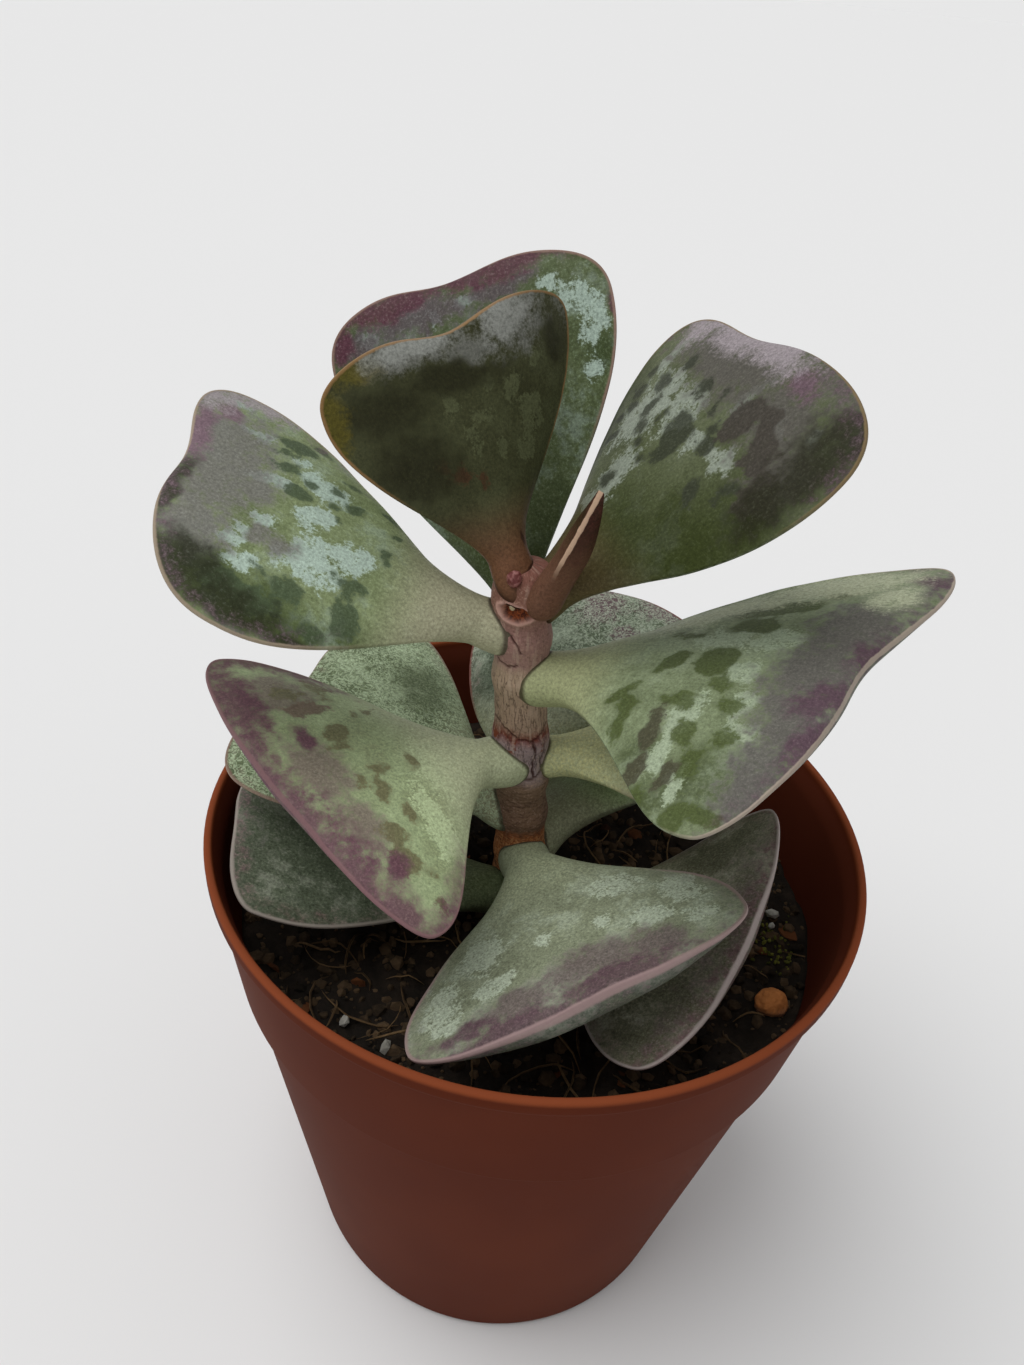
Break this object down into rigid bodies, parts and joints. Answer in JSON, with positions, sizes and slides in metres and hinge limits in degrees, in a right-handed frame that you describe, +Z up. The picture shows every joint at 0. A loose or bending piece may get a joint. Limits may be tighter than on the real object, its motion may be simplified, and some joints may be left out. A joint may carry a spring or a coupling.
{
  "type": "potted calico hearts",
  "caption": "Young succulent with thick, spotted, notched wedge leaves on round stalks round a bare stem, growing in a small tapered plastic nursery pot.",
  "frame": {"origin": "centre of the pot's base, on the surface that it stands on", "axes": "+Z up, +X to the right and +Y to the back as the picture looks at the plant"},
  "size_m": [0.0567, 0.055, 0.0926],
  "materials": {
    "pot_plastic": "thin moulded terracotta-brown plastic, satin, slightly translucent at the lip",
    "potting_mix": null,
    "stone": null,
    "bark": "dull grey-brown skin with corky rings and leaf scars",
    "leaf": null,
    "young_leaf": null
  },
  "bodies": {
    "root": {"pot": "pot_plastic", "soil": "potting_mix", "pebble": "stone", "stem": "bark", "leaf_top_front": "leaf", "leaf_top_back": "leaf", "leaf_upper_left": "leaf", "leaf_upper_right": "leaf", "leaf_right": "leaf", "leaf_left": "leaf", "leaf_front": "leaf", "leaf_low_left": "leaf", "leaf_low_right": "leaf", "leaf_back_left": "leaf", "leaf_back": "leaf", "leaf_back_right": "leaf", "leaf_low_back": "leaf", "young_leaf": "young_leaf"}
  },
  "joints": []
}
